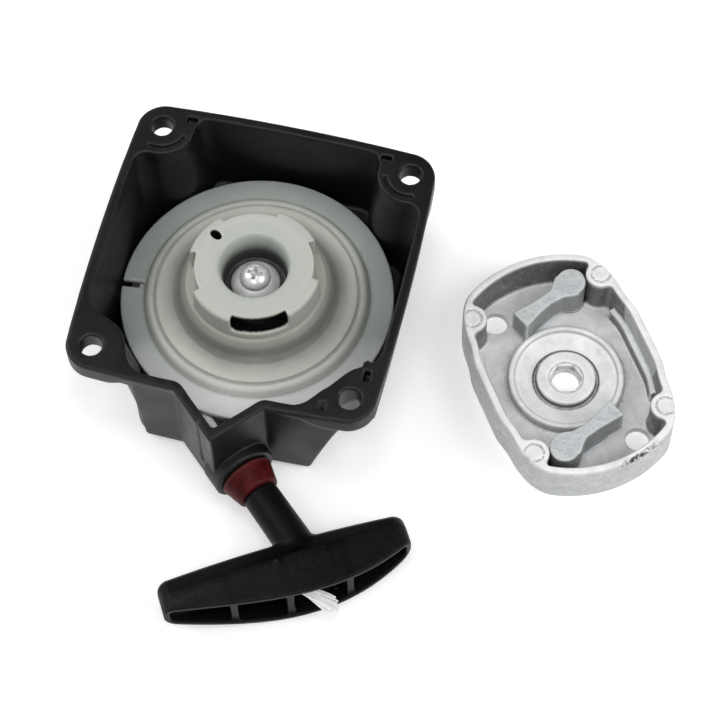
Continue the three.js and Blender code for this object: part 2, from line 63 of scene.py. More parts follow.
# ---- driving dimensions, millimetres, as in the CAD part ----
BOLT = 40.0
HOLLOW_SHIFT = 2.2
HOLLOW_R = 14.7
NEAR_HOLLOW_R = 15.6
BOLT_HOLE_R = 3.45
FLANGE_TOP = 38.0
EAR_Z = 31.3
TAPER_TOP = 33.0
TAPER = 0.125
LIP_Z = 35.5
CUP_INSET = 0.3
CUP_EDGE = 2.5
FLANGE_MID = 49.0
FLANGE_CORNER = 47.8
FLANGE_ROUND = 7.5
WALL = 3.0
FLOOR = 2.5
WEB_R = 10.3
POST_R = 6.0
POST_TOP = 22.0
PULL_ANGLE = math.radians(-43)
PULL_OFFSET = 35.0
ROPE_Z = 10.0
ROPE_R = 1.75
NOSE_FACE = 45.0
NOSE_SIDE = 44.0
SOCKET_R = 10.0
SOCKET_END = 48.2
FERRULE_END = 56.0
FERRULE_BIG_R = 8.5
FERRULE_SMALL_R = 6.5
NECK_START = 56.3
NECK_R = 5.6
HUB_TOP = 34.0
WASHER_R = 7.7
HEAD_R = 4.9
HEAD_LOW = 25.8
HEAD_TOP = 29.8
RING_R = 18.4
WINDOW_LOW = 27.5
LUG_R = 20.8
LUG_HALF_ARC = 70.0
LUG_MIDS = (-71.0, 109.0)
WINDOW_HALF_ARC = 26.0
BAR_CENTRE = (33.0, -90.5)
BAR_ANGLE = math.radians(30.5)
BAR_HALF = 38.4
BAR_Z = 10.0
PLATE = (99.5, -1.5)
PLATE_ANGLE = math.radians(124.5)
PLATE_R = 38.5
PLATE_H = 16.0
PLATE_FLOOR = 3.0
PAWL_LOW = 5.4
PAWL_TOP = 15.0
PAWL_PIVOT = (26.2, 12.3)
CLEAR_HOLE = (26.7, -12.6)
GATE_BEARING = 168.0
BOSS = (24.8, 21.8)


# ---- signed distances ----
def round_max(a, b, r):
    """Both solids at once, with their shared outer edge rounded to radius r."""
    inside = np.minimum(np.maximum(a, b), -r)
    return inside + np.hypot(np.maximum(a + r, 0), np.maximum(b + r, 0))


def round_min(a, b, r):
    """Either solid, with the inner corner where they meet filled to radius r."""
    outside = np.maximum(np.minimum(a, b), r)
    return outside - np.hypot(np.maximum(r - a, 0), np.maximum(r - b, 0))


def cut(solid, tool, r=0.3):
    """The solid less the tool, with the cut's edge rounded to radius r."""
    return round_max(solid, -tool, r)


def slab(value, low, high):
    return np.maximum(low - value, value - high)


def step_up(value, low, high):
    """0 below low, 1 above high, smooth between."""
    t = np.clip((value - low) / (high - low), 0, 1)
    return t * t * (3 - 2 * t)


def outline_distance(x, y, points):
    """Signed distance to a closed outline of straight edges."""
    nearest = None
    side = None
    for (ax, ay), (bx, by) in zip(points, points[1:] + points[:1]):
        ex, ey = bx - ax, by - ay
        wx, wy = x - ax, y - ay
        along = np.clip((wx * ex + wy * ey) / (ex * ex + ey * ey), 0, 1)
        square = (wx - ex * along) ** 2 + (wy - ey * along) ** 2
        nearest = square if nearest is None else np.minimum(nearest, square)
        upward = by > ay
        hit = ((ay <= y) != (by <= y)) & (((x - ax) * (by - ay) < (y - ay) * ex) == upward)
        side = hit if side is None else side ^ hit
    return np.where(side, -1.0, 1.0) * np.sqrt(nearest)


def arc_gap(angle, middle, half):
    """How far an angle lies outside an arc, in degrees; negative inside it."""
    return np.abs((angle - middle + 180) % 360 - 180) - half


def on_pull(x, y):
    """Place along the rope's line and across it, outward from the pulley axis."""
    c, s = math.cos(PULL_ANGLE), math.sin(PULL_ANGLE)
    return x * c + y * s, x * s - y * c


def from_pull(s, across):
    c, n = math.cos(PULL_ANGLE), math.sin(PULL_ANGLE)
    return c * s + n * across, n * s - c * across


def on_bar(x, y):
    """Place along the grip bar and outward from the chord of its open face."""
    c, s = math.cos(BAR_ANGLE), math.sin(BAR_ANGLE)
    dx, dy = x - BAR_CENTRE[0], y - BAR_CENTRE[1]
    return dx * c + dy * s, dx * s - dy * c


def from_bar(u, v):
    c, s = math.cos(BAR_ANGLE), math.sin(BAR_ANGLE)
    return BAR_CENTRE[0] + u * c + v * s, BAR_CENTRE[1] + u * s - v * c


def on_plate(x, y):
    """Place along the pawl plate's long axis and across it."""
    c, s = math.cos(PLATE_ANGLE), math.sin(PLATE_ANGLE)
    dx, dy = x - PLATE[0], y - PLATE[1]
    return dx * c + dy * s, dx * s - dy * c


def from_plate(along, across):
    c, s = math.cos(PLATE_ANGLE), math.sin(PLATE_ANGLE)
    return PLATE[0] + along * c + across * s, PLATE[1] + along * s - across * c


# ---- from a signed distance to a finished mesh ----
def settled(shape, points, reach):
    """Moves points onto the surface of the shape, each by no more than reach."""
    eps = 0.02
    start = points.copy()
    for _ in range(3):
        here = shape(*points.T)
        slope = np.stack([
            shape(*(points + eps * np.eye(3)[axis]).T) - shape(*(points - eps * np.eye(3)[axis]).T)
            for axis in range(3)], axis=1) / (2 * eps)
        size = np.maximum((slope ** 2).sum(1), 0.2)
        points = points - (here / size)[:, None] * slope
        points = start + np.clip(points - start, -reach, reach)
    return points


def slopes(shape, points, eps=0.05):
    slope = np.stack([
        shape(*(points + eps * np.eye(3)[axis]).T) - shape(*(points - eps * np.eye(3)[axis]).T)
        for axis in range(3)], axis=1)
    return slope / np.maximum(np.linalg.norm(slope, axis=1), 1e-6)[:, None]


def carved(name, shape, low, high, step, most=150000, reach=1.2):
    """A closed mesh of the shape between two corners. It carries three point attributes: worn, on outer
    edges, one for painted shade in inner corners, and one for painted shade on steep sides."""
    counts = [int(math.ceil((h - l) / step)) + 1 for l, h in zip(low, high)]
    axes = [l + step * np.arange(n) for l, n in zip(low, counts)]
    grid_points = np.meshgrid(*axes, indexing="ij", sparse=True)
    field = np.broadcast_to(shape(*grid_points), counts).astype(np.float32)
    grid = openvdb.FloatGrid(1000.0)
    grid.copyFromArray(np.ascontiguousarray(field))
    points, quads = grid.convertToQuads(isovalue=0.0)
    points = np.array(low) + points.astype(float) * step
    points = settled(shape, points, step * 0.6)
    mesh = bpy.data.meshes.new(name)
    mesh.from_pydata((points * MM).tolist(), [], quads.tolist())
    piece = bpy.data.objects.new(name, mesh)
    bpy.context.scene.collection.objects.link(piece)
    if 2 * len(quads) > most:
        thin = piece.modifiers.new("thin", "DECIMATE")
        thin.ratio = most / (2 * len(quads))
        flattened(piece)
    outward(piece)
    mesh = piece.data
    mesh.polygons.foreach_set("use_smooth", [True] * len(mesh.polygons))
    final = vertices_of(mesh) / MM
    normal = slopes(shape, final)
    within = shape(*(final - reach * normal).T)
    beyond = shape(*(final + reach * normal).T)
    write_attribute(mesh, "worn", np.clip((within + reach) / reach, 0, 1))
    # painted shade: how far an inner corner closes in round the point
    write_attribute(mesh, "sunk", np.clip((reach - beyond) / reach, 0, 1))
    # painted shade: how steeply the surface stands, for darker sides
    write_attribute(mesh, "flank", 1 - normal[:, 2] ** 2)
    return piece


def carved_over(node, name, shape, step, most):
    """Carves a piece inside the box of the CAD node that it stands for."""
    low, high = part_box(node)
    margin = 1
    corner_low = tuple(v / MM - margin for v in low)
    corner_high = tuple(v / MM + margin for v in high)
    piece = carved(name, shape, corner_low, corner_high, step, most)
    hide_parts(node)
    return piece


def vertices_of(mesh):
    flat = np.zeros(len(mesh.vertices) * 3)
    mesh.vertices.foreach_get("co", flat)
    return flat.reshape(-1, 3)


def write_attribute(mesh, name, values):
    attribute = mesh.attributes.new(name, "FLOAT", "POINT")
    attribute.data.foreach_set("value", values.astype(np.float32))


def flattened(piece):
    """Turns the piece's live modifiers into its plain mesh."""
    graph = bpy.context.evaluated_depsgraph_get()
    done = bpy.data.meshes.new_from_object(piece.evaluated_get(graph))
    piece.modifiers.clear()
    old = piece.data
    piece.data = done
    bpy.data.meshes.remove(old)


def outward(piece):
    """Points every face out of its closed mesh."""
    work = bmesh.new()
    work.from_mesh(piece.data)
    bmesh.ops.remove_doubles(work, verts=work.verts, dist=1e-7)
    bmesh.ops.recalc_face_normals(work, faces=work.faces)
    if work.calc_volume(signed=True) < 0:
        bmesh.ops.reverse_faces(work, faces=work.faces)
    work.to_mesh(piece.data)
    work.free()


# ---- housing ----
def side_room(x, y, inset):
    """Distance to a bowed side facing +x or -x, inset from the flange's own."""
    bow = FLANGE_MID - FLANGE_CORNER
    return np.abs(x) - (FLANGE_MID - inset - bow * (y / BOLT) ** 2)


def bowed_square(x, y, inset, corner, lean=0.0):
    """A square with bowed sides; lean draws in the two sides that face +x and -x."""
    return round_max(side_room(x, y, inset) + lean, side_room(y, x, inset), corner)


def housing_shape(x, y, z):
    s, across = on_pull(x, y)
    bolt = np.hypot(np.abs(x) - BOLT, np.abs(y) - BOLT)
    edge = bowed_square(x, y, 0, FLANGE_ROUND)
    rim_low = EAR_Z + (LIP_Z - EAR_Z) * step_up(bolt, 10, 17)
    rim = round_max(edge, np.maximum(rim_low - z, z - FLANGE_TOP), 0.6)
    lean = TAPER * np.clip(TAPER_TOP - z, 0, None)

    # the room inside, bounded by a web round each bolt that thickens towards the floor
    growth = np.clip(0.16 * (32 - z), 0, 2.9)
    web = WEB_R + growth - bolt
    straight = 7.4 + growth + 0.807 * (x - BOLT) - 0.591 * (y + BOLT)
    web = np.where((x > 0) & (y < 0), round_min(web, straight, 2.0), web)
    room = round_max(bowed_square(x, y, WALL, 4, lean), web, np.where(y < 0, 9.0, 5.0))

    # walls, hollowed from outside at each corner below the ear that the bolt goes through
    middle = BOLT + HOLLOW_SHIFT
    cone = np.hypot(np.abs(x) - middle, np.abs(y) - middle) - HOLLOW_R + 0.288 * z
    deep = np.maximum(bolt - NEAR_HOLLOW_R - 0.07 * (31 - z), 2.4 - room)
    hollow = np.maximum(np.where((x < 0) & (y < 0), deep, cone), z - 32)
    cup = round_max(bowed_square(x, y, CUP_INSET, FLANGE_ROUND, lean), -hollow, 1.5)
    cup = round_max(cup, slab(z, 0, 60), CUP_EDGE)
    cup = np.maximum(cup, z - (LIP_Z + 1))
    body = round_min(cup, rim, 0.5)

    # nose and socket
    tip = round_max(s - NOSE_FACE, across - NOSE_SIDE, 0.8)
    tip = np.maximum(tip, np.maximum(12 - s, 21 - across))
    under_lip = 0.35 * (1 - step_up(z, LIP_Z - 0.3, LIP_Z + 0.2))
    nose = round_max(tip + under_lip, slab(z, FLOOR, FLANGE_TOP), 0.6)
    body = round_min(body, nose, 0.4)
    ring = np.hypot(across - PULL_OFFSET, z - ROPE_Z)
    socket = round_max(ring - SOCKET_R, slab(s, 40, SOCKET_END), 0.7)
    socket = np.maximum(socket, 0.3 - z)
    body = round_min(body, socket, 0.4)

    # cavity
    cavity = round_max(room, FLOOR - z, 1.5)
    beak = round_max(s - NOSE_FACE + WALL, across - NOSE_SIDE + WALL, 1.2)
    beak = np.maximum(beak, np.maximum(12 - s, 21 - across))
    beak = round_max(beak, FLOOR + WALL - z, 1.5)
    cavity = round_min(cavity, beak, 1.2)
    body = cut(body, cavity, 0.45)

    # bolt holes
    body = cut(body, np.maximum(bolt - BOLT_HOLE_R, 10 - z), 0.4)

    # the two far bosses stand in a moat, with a pocket by the wall
    angle = np.degrees(np.arctan2(y - BOLT, np.abs(x) - BOLT))
    moat = np.maximum(np.maximum(slab(bolt, 7.5, 8.5), arc_gap(angle, -118, 46) * 0.13), 36.9 - z)
    pocket = np.maximum(np.maximum(slab(np.abs(x), 29.6, 33.0), slab(y, 43.2, 45.2)), 35.6 - z)
    far = np.minimum(moat, pocket)
    far = np.maximum(far, 20 - y)
    body = cut(body, far, 0.35)

    # near right: a shallow notch left of the bolt, and a peg with a slot on the wall
    notch = np.maximum(np.maximum(slab(x, 31.6, 33.2), slab(y, -45.4, -42.8)), 37.3 - z)
    slit = np.maximum(np.maximum(slab(x, 42.2, 44.0), slab(y, -33.2, -29.6)), 35.0 - z)
    body = cut(body, np.minimum(notch, slit), 0.3)
    peg = np.maximum(np.hypot(x - 42.4, y + 27.6) - 1.4, slab(z, 28, FLANGE_TOP - 0.2))
    body = round_min(body, peg, 0.5)

    # groove down the left side of the nose
    seam = np.maximum(np.abs(s - 37.6) - 0.7, slab(across, NOSE_SIDE - 0.9, NOSE_SIDE + 2))
    body = cut(body, np.maximum(seam, 12 - z), 0.25)

    # way for the rope, and the seat of the ferrule
    body = cut(body, np.maximum(ring - 2.6, slab(s, 36, 50)), 0.4)
    body = cut(body, np.maximum(ring - 5.2, slab(s, NOSE_FACE + 0.4, 60)), 0.3)

    # centre post
    radius = np.hypot(x, y)
    post = np.maximum(radius - POST_R, slab(z, FLOOR - 1, POST_TOP))
    foot = np.maximum(radius - POST_R - 2, slab(z, FLOOR - 1, 4))
    body = round_min(body, np.minimum(post, foot), 0.4)
    dish = np.hypot(radius, z + 22) - 25
    return cut(body, np.maximum(dish, z - 1.2), 0.4)


def make_housing():
    piece = carved("cover_moulding", housing_shape, (-50.5, -65.5, -1), (50.5, 50.5, 39), 0.5, 190000)
    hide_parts("housing")
    return dressed(piece, "cover", black_plastic())


# ---- pulley ----
PULLEY_PROFILE = [
    (6.3, 4.6), (8.4, 4.6), (8.4, 19.6), (12.9, 19.6), (12.9, 32.2), (16.6, 32.2), (16.6, 21), (20.6, 15.8),
    (29, 14.8), (29, 3), (41.9, 3), (41.9, 4.5), (31, 4.5), (31, 11.9), (42.9, 11.9), (42.9, 13.75),
    (35.6, 13.75), (34.6, 15.6), (34.0, 16.1), (32.6, 16.5), (32.3, 16.0), (31.9, 16.0), (31.5, 16.8),
    (28.5, 17.0), (26.0, 17.8), (24.4, 19.8), (23.4, 22.6), (21.6, 24.6), (18.4, 24.9), (18.4, 34),
    (11.9, 34), (11.1, 33.5), (10.6, 32.2), (9.7, 21.7), (6.3, 21.7),
]


def pulley_shape(x, y, z):
    r = np.hypot(x, y)
    angle = np.degrees(np.arctan2(y, x))
    body = outline_distance(r, z, PULLEY_PROFILE)
    arc = np.minimum(arc_gap(angle, LUG_MIDS[0], LUG_HALF_ARC), arc_gap(angle, LUG_MIDS[1], LUG_HALF_ARC))
    span = arc * math.radians(1) * LUG_R
    lug = round_max(r - LUG_R, z - HUB_TOP + 0.12 * np.maximum(r - RING_R, 0), 1.1)
    lug = np.maximum(lug, np.maximum(16.2 - r, 20 - z))
    body = round_min(body, round_max(lug, span, 0.4), 0.3)
    hollow = np.maximum(slab(r, 16.2, LUG_R - 1.4), span + 1.8)
    body = np.maximum(body, -np.maximum(hollow, slab(z, 18.5, 32.4)))
    window_arc = np.minimum(arc_gap(angle, LUG_MIDS[0], WINDOW_HALF_ARC),
                            arc_gap(angle, LUG_MIDS[1], WINDOW_HALF_ARC))
    window = round_max(window_arc * math.radians(1) * RING_R, WINDOW_LOW - z, 1.6)
    body = cut(body, np.maximum(window, slab(r, RING_R + 0.1, 26)), 0.3)

    # narrow gaps where the lugs end
    for middle in LUG_MIDS:
        for end in (middle + LUG_HALF_ARC + 1.2, middle - LUG_HALF_ARC - 1.2):
            gap = arc_gap(angle, end, 1.5) * math.radians(1) * RING_R
            gap = np.maximum(gap, slab(r, 17.4, 18.9))
            body = cut(body, np.maximum(gap, slab(z, 25.5, 33.0)), 0.2)

    # hole for the knot, and the slot that the rope is threaded through
    lengthwise = (x + 14.2) * 0.86 - (y - 7.9) * 0.51
    crosswise = (x + 14.2) * 0.51 + (y - 7.9) * 0.86
    knot_hole = np.hypot(lengthwise / 1.5, crosswise) - 1.4
    body = cut(body, np.maximum(knot_hole, HUB_TOP - 6 - z), 0.3)
    tilt = math.radians(6)
    along = -(x * math.cos(tilt) + y * math.sin(tilt))
    beside = -x * math.sin(tilt) + y * math.cos(tilt)
    slot = np.maximum(np.hypot(np.minimum(along - 37.1, 0), beside) - 1.1, 30 - along)
    return cut(body, np.maximum(slot, slab(z, 11, 20)), 0.3)


def make_pulley():
    piece = carved("nylon_pulley", pulley_shape, (-44, -44, 2), (44, 44, 35), 0.42, 190000)
    spots = vertices_of(piece.data) / MM
    r = np.hypot(spots[:, 0], spots[:, 1])
    angle = np.degrees(np.arctan2(spots[:, 1], spots[:, 0]))
    in_lug = (r > 12.2) & (r < LUG_R - 0.9) & (spots[:, 2] < 33.3) & (spots[:, 2] > 16)
    arc = np.minimum(arc_gap(angle, LUG_MIDS[0], 68), arc_gap(angle, LUG_MIDS[1], 68))
    in_lug &= arc < 0
    hole = (np.hypot(spots[:, 0] + 14.2, spots[:, 1] - 7.9) < 2.3) & (spots[:, 2] < 33.4)
    depth = np.where(r < 11.3, np.clip((30.5 - spots[:, 2]) / 5, 0, 0.93), 0)
    write_attribute(piece.data, "unlit", np.maximum((in_lug | hole).astype(float), depth))
    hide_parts("pulley")
    return dressed(piece, "rope_pulley", nylon())


# ---- screw in the hub ----
def screw_shape(x, y, z):
    r = np.hypot(x, y)
    crown = np.hypot(r, z - (HEAD_TOP - 5.6)) - 5.6
    head = round_max(crown, np.maximum(r - HEAD_R, HEAD_LOW - 0.3 - z), 0.4)
    first = np.maximum(np.abs(x) - 0.55, np.abs(y) - 2.2)
    second = np.maximum(np.abs(y) - 0.55, np.abs(x) - 2.2)
    recess = np.maximum(np.minimum(np.minimum(first, second), r - 1.3), HEAD_TOP - 1.6 - z)
    head = cut(head, recess, 0.3)
    shank = np.maximum(r - 1.7, slab(z, 10, HEAD_LOW + 1))
    return np.minimum(head, shank)


def washer_shape(x, y, z):
    """A dished washer, higher in the middle, with a smooth convex top."""
    r = np.hypot(x, y)
    top = POST_TOP + 4.6 - 3.4 * (np.maximum(r - 3, 0) / (WASHER_R - 3)) ** 1.8
    body = round_max(r - WASHER_R, np.maximum(POST_TOP + 0.3 - z, z - top) * 0.8, 0.4)
    return np.maximum(body, 2.1 - r)


def make_screw():
    piece = carved("hub_screw", screw_shape, (-6, -6, 9), (6, 6, 30.5), 0.13, 60000, reach=0.6)
    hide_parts("retaining_screw")
    dressed(piece, "cover", bright_zinc("bright_zinc_screw", (0.90, 0.91, 0.92), 0.24, 0.5))
    piece = carved("dished_washer", washer_shape, (-9, -9, 21), (9, 9, 28), 0.17, 40000, reach=0.6)
    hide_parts("retaining_washer")
    return dressed(piece, "cover", bright_zinc("bright_zinc_washer", (0.95, 0.97, 0.96), 0.3, 0.1))


# ---- red ferrule ----
def ferrule_shape(x, y, z):
    s, across = on_pull(x, y)
    r = np.hypot(across - PULL_OFFSET, z - ROPE_Z)
    lean = (FERRULE_BIG_R - FERRULE_SMALL_R) / (FERRULE_END - SOCKET_END)
    cone = (r - FERRULE_BIG_R + lean * (s - SOCKET_END - 0.3)) / math.hypot(1, lean)
    body = round_max(cone, slab(s, SOCKET_END + 0.3, FERRULE_END), 0.6)
    spigot = round_max(r - 4.9, slab(s, 45.8, SOCKET_END + 2), 0.3)
    body = np.minimum(body, spigot)
    mouth = 2.2 + np.maximum(0, s - FERRULE_END + 2) ** 2 * 0.35
    return cut(body, r - mouth, 0.3)


def make_ferrule():
    piece = carved_over("rope_guide_ferrule", "red_ferrule", ferrule_shape, 0.3, 60000)
    return dressed(piece, "cover", red_plastic())


# ---- T-handle ----
RIBS = (-17.6, -1.0, 17.6)
HALF_RIBS = (13.8,)


def handle_shape(x, y, z):
    u, v = on_bar(x, y)
    w = np.abs(z - BAR_Z)
    taper = (u / 38.0) ** 2
    half = 9.5 - 4.2 * taper
    rim = -0.6 + 7.8 * (1 - taper) + 0.075 * u * (1 - taper)
    crease = -4.3 - 0.06 * u
    back = -12.7 + 1.6 * taper
    drop = half - 3.2
    run = crease - back
    facet = ((crease - v) * drop + (w - half) * run) / np.hypot(drop, run)
    roof = w - half + 0.02 * (v - crease)
    shell = round_max(roof, facet, 1.0)
    shell = round_max(shell, back - v, 2.2)
    shell = round_max(shell, np.abs(u - 0.2) - BAR_HALF, 3.6)
    bar = round_max(shell, v - rim, 0.5)
    well = round_max(shell + 1.9, -6.2 - v, 1.0)
    ribs = None
    for place in RIBS:
        blade = np.maximum(np.abs(u - place) - 1.0 - 0.03 * w, v - rim + 0.9)
        ribs = blade if ribs is None else np.minimum(ribs, blade)
    for place in HALF_RIBS:
        ribs = np.minimum(ribs, np.maximum(np.abs(u - place) - 0.7, v - rim + 4.5))
    well = round_max(well, -ribs, 0.6)
    bar = cut(bar, well, 0.4)
    s, across = on_pull(x, y)
    r = np.hypot(across - PULL_OFFSET, z - ROPE_Z)
    stem = round_max(r - NECK_R - 0.012 * (s - NECK_START), slab(s, NECK_START, 82), 0.6)
    stem = np.maximum(stem, v + 6.0)
    bar = round_min(bar, stem, 1.6)
    nub = np.hypot(np.hypot(u + 2.2, v - crease), z - BAR_Z - half) - 0.8
    bar = round_min(bar, nub, 0.3)
    return cut(bar, np.maximum(r - 2.3, slab(s, 40, 100)), 0.5)


def make_handle():
    piece = carved_over("handle", "pull_grip", handle_shape, 0.36, 170000)
    spots = vertices_of(piece.data) / MM
    u, v = on_bar(spots[:, 0], spots[:, 1])
    taper = (u / BAR_HALF) ** 2
    # painted shade, deepening towards the back of the grip's open well
    within = (np.abs(spots[:, 2] - BAR_Z) < 8.3 - 4.2 * taper) & (np.abs(u) < BAR_HALF - 1.6)
    depth = np.clip((5.6 - 7.0 * taper - v) / 5, 0, 1) * within * (v > -7.5)
    write_attribute(piece.data, "deep", depth)
    return dressed(piece, "grip", grip_plastic())


# ---- pawl plate ----
def plate_shape(x, y, z):
    a, c = on_plate(x, y)
    r = np.hypot(a, c)
    swell = 1.7 / (1 + (np.abs(a) / 13.5) ** 8)

    def outline(inset, corner):
        return round_max(r - PLATE_R + inset, np.abs(c) - 25.7 - swell + inset, corner)

    draft = 0.03 * (PLATE_H - z)
    body = round_max(outline(0, 7) - draft * 0.3, slab(z, 0, PLATE_H), 1.0)
    bosses = np.hypot(np.abs(a) - BOSS[0], np.abs(c) - BOSS[1]) - 4.7
    tray = round_max(outline(2.5, 4) + draft, -bosses, 2.0)
    tray = round_max(tray, PLATE_FLOOR - z, 1.2)
    body = cut(body, tray, 0.45)

    # a ledge low along each long wall
    ledge = round_max(-outline(4.7, 5), z - 7.5, 0.6)
    ledge = np.maximum(ledge, outline(1, 6))
    ledge = np.maximum(ledge, np.abs(a) - 16)
    ledge = np.maximum(ledge, 2 - z)
    body = round_min(body, ledge, 0.8)

    # hub with a ridge round it
    ridge = round_max(slab(r, 15.9, 18.3) + 0.15 * (z - 4), slab(z, 2, 6.1), 0.7)
    dished = np.maximum(slab(r, 0, 16), z - 3.5 - 0.25 * (r - 10.5))
    dished = np.maximum(dished, 2 - z)
    boss = round_max(r - 9.3, slab(z, 2, 5.3), 0.5)
    hub = np.minimum(round_min(ridge, dished, 0.5), boss)
    body = round_min(body, hub, 0.5)
    body = cut(body, np.maximum(slab(r, 9.3, 10.3), 2.9 - z), 0.3)
    hexagon = r - 5.5
    for turn in (20, 80, 140):
        t = math.radians(turn)
        hexagon = np.maximum(hexagon, np.abs(a * math.cos(t) + c * math.sin(t)) - 4.35)
    body = cut(body, np.maximum(hexagon, 2.2 - z), 0.3)
    body = cut(body, r - 4.2, 0.3)
    body = cut(body, np.maximum(r - 5.4, slab(z, 4.7, 9)), 0.3)

    # ejector marks on the corner bosses
    marks = np.abs(np.hypot(np.abs(a) - BOSS[0], np.abs(c) - BOSS[1]) - 2.9) - 0.18
    body = cut(body, np.maximum(marks, PLATE_H - 0.3 - z), 0.1)

    for side in (1, -1):
        clear = np.hypot(a - side * CLEAR_HOLE[0], c - side * CLEAR_HOLE[1]) - 3.75
        body = cut(body, clear, 0.35)
        pad = np.hypot(a - side * PAWL_PIVOT[0], c - side * PAWL_PIVOT[1])
        body = round_min(body, np.maximum(pad - 4.2, slab(z, 2, 5.1)), 0.4)
        body = cut(body, np.maximum(pad - 1.9, 1 - z), 0.2)

    # broken casting gate on the near rim
    chips = None
    for i in range(9):
        bearing = math.radians(GATE_BEARING - 10 + i * 2.5)
        size = 0.55 + 0.25 * math.sin(i * 2.3)
        spot = (PLATE_R * 0.995 * math.cos(bearing), PLATE_R * 0.995 * math.sin(bearing))
        depth = 1.3 * math.sin(i * 1.7) ** 2
        chip = np.hypot(np.hypot(a - spot[0], c - spot[1]), z - PLATE_H + depth) - size
        chips = chip if chips is None else np.minimum(chips, chip)
    return cut(body, chips, 0.15)


def make_plate():
    piece = carved_over("pawl_plate", "cast_pawl_plate", plate_shape, 0.42, 190000)
    spots = vertices_of(piece.data) / MM
    along, across = on_plate(spots[:, 0], spots[:, 1])
    # mask of the tray's inner walls, which the finish darkens with painted shade
    inside = round_max(np.hypot(along, across) - PLATE_R, np.abs(across) - 25.7, 7) < -1.3
    inside &= (np.hypot(along, across) > 19) & (spots[:, 2] > PLATE_FLOOR + 0.2)
    bearing = np.degrees(np.arctan2(across, along))
    scar = np.clip(1.4 - np.abs(bearing - GATE_BEARING) / 9, 0, 1)
    scar *= (spots[:, 2] > PLATE_H - 1.5) & (np.hypot(along, across) > 37.3)
    write_attribute(piece.data, "recess", inside.astype(float))
    write_attribute(piece.data, "scar", scar)
    return dressed(piece, "plate", cast_aluminium())


PAWL_ARM = [
    (1.5, 4.3), (5.5, 2.9), (10, 2.2), (15, 2.7), (21.2, 3.9),
    (21.4, -2.7), (13, -1.7), (7.5, -1.6), (3, -3.6),
]


def pawl_shape_at(side):
    turn = math.radians(-128.5 if side > 0 else 51.5)
    pivot = from_plate(side * PAWL_PIVOT[0], side * PAWL_PIVOT[1])

    def pawl_shape(x, y, z):
        dx, dy = x - pivot[0], y - pivot[1]
        u = dx * math.cos(turn) + dy * math.sin(turn)
        v = -dx * math.sin(turn) + dy * math.cos(turn)
        flat = round_min(np.hypot(u, v) - 4.6, outline_distance(u, v, PAWL_ARM), 2.0)
        body = round_max(flat, slab(z, PAWL_LOW, PAWL_TOP), 0.45)
        return cut(body, np.maximum(np.hypot(u, v) - 1.9, slab(z, 0, PAWL_TOP - 2.4)), 0.2)

    return pawl_shape


def make_pawl(letter, side):
    node = f"pawl_{letter}"
    piece = carved_over(node, f"sintered_{node}", pawl_shape_at(side), 0.22, 60000)
    return dressed(piece, f"pawl_arm_{letter}", sintered_steel())


# ---- rope: strands along a path, made by Geometry Nodes ----
def strand_tree(material):
    """Sweeps a round strand along every path of the object it is put on."""
    tree = bpy.data.node_groups.new("strand_sweep", "GeometryNodeTree")
    face = tree.interface
    face.new_socket("Geometry", in_out="INPUT", socket_type="NodeSocketGeometry")
    radius = face.new_socket("Strand radius", in_out="INPUT", socket_type="NodeSocketFloat")
    sides = face.new_socket("Sides", in_out="INPUT", socket_type="NodeSocketInt")
    face.new_socket("Geometry", in_out="OUTPUT", socket_type="NodeSocketGeometry")
    add = tree.nodes.new
    link = tree.links.new
    start = add("NodeGroupInput")
    end = add("NodeGroupOutput")
    to_curve = add("GeometryNodeMeshToCurve")
    circle = add("GeometryNodeCurvePrimitiveCircle")
    sweep = add("GeometryNodeCurveToMesh")
    sweep.inputs["Fill Caps"].default_value = True
    smooth = add("GeometryNodeSetShadeSmooth")
    realize = add("GeometryNodeRealizeInstances")
    paint = add("GeometryNodeSetMaterial")
    paint.inputs["Material"].default_value = material
    link(start.outputs["Geometry"], to_curve.inputs["Mesh"])
    link(start.outputs["Strand radius"], circle.inputs["Radius"])
    link(start.outputs["Sides"], circle.inputs["Resolution"])
    link(to_curve.outputs["Curve"], sweep.inputs["Curve"])
    link(circle.outputs["Curve"], sweep.inputs["Profile Curve"])
    link(sweep.outputs["Mesh"], smooth.inputs["Geometry"])
    link(smooth.outputs["Geometry"], realize.inputs["Geometry"])
    link(realize.outputs["Geometry"], paint.inputs["Geometry"])
    link(paint.outputs["Geometry"], end.inputs["Geometry"])
    return tree, radius.identifier, sides.identifier


def swept(name, paths, radius, sides, tree_and_sockets, material):
    """A mesh of strands, each following one path of points in millimetres."""
    tree, radius_id, sides_id = tree_and_sockets
    points, edges = [], []
    for path in paths:
        first = len(points)
        points += [tuple(value * MM for value in point) for point in path]
        edges += [(first + i, first + i + 1) for i in range(len(path) - 1)]
    mesh = bpy.data.meshes.new(name)
    mesh.from_pydata(points, edges, [])
    piece = bpy.data.objects.new(name, mesh)
    bpy.context.scene.collection.objects.link(piece)
    sweep = piece.modifiers.new("sweep", "NODES")
    sweep.node_group = tree
    sweep[radius_id] = radius * MM
    sweep[sides_id] = sides
    flattened(piece)
    outward(piece)
    piece.data.materials.clear()
    piece.data.materials.append(material)
    return piece


